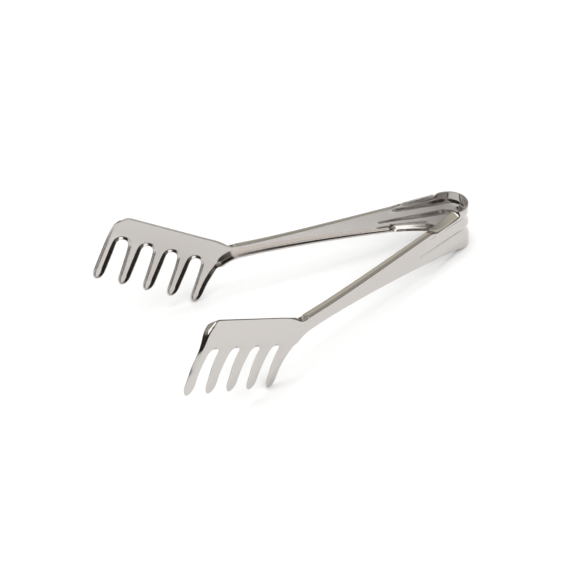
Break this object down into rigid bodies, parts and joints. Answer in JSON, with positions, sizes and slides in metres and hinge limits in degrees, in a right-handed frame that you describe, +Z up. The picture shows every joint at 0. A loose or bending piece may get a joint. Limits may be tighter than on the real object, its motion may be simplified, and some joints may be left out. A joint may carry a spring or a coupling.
{
  "type": "spaghetti tongs",
  "caption": "Spring-steel spaghetti tongs: a sprung bow, two splayed channel arms, and slotted comb heads with round-ended teeth.",
  "frame": {"origin": "centre of the footprint on the table, at table height", "axes": "+X from the combs towards the spring bow, +Y towards the right arm, +Z up; the mid-plane of the tongs is y = 0"},
  "size_m": [0.1969, 0.1098, 0.0618],
  "materials": {
    "polished_steel": "mirror polished stainless steel sheet"
  },
  "bodies": {
    "bow": {"spring_bow": "polished_steel"},
    "left": {"left_arm": "polished_steel", "left_comb": "polished_steel"},
    "right": {"right_arm": "polished_steel", "right_comb": "polished_steel"}
  },
  "joints": [
    {"name": "left_squeeze", "type": "hinge", "parent": "bow", "child": "left", "pos_m": [0.08808, -0.01107, 0.01325], "axis": [0, 0, -1], "range_deg": [0, 15], "stiffness_Nm_per_rad": 1.2},
    {"name": "right_squeeze", "type": "hinge", "parent": "bow", "child": "right", "pos_m": [0.08808, 0.01107, 0.01325], "axis": [0, 0, 1], "range_deg": [0, 15], "stiffness_Nm_per_rad": 1.2}
  ],
  "couplings": [
    {"joint": "right_squeeze", "follows": "left_squeeze", "ratio": 1}
  ]
}
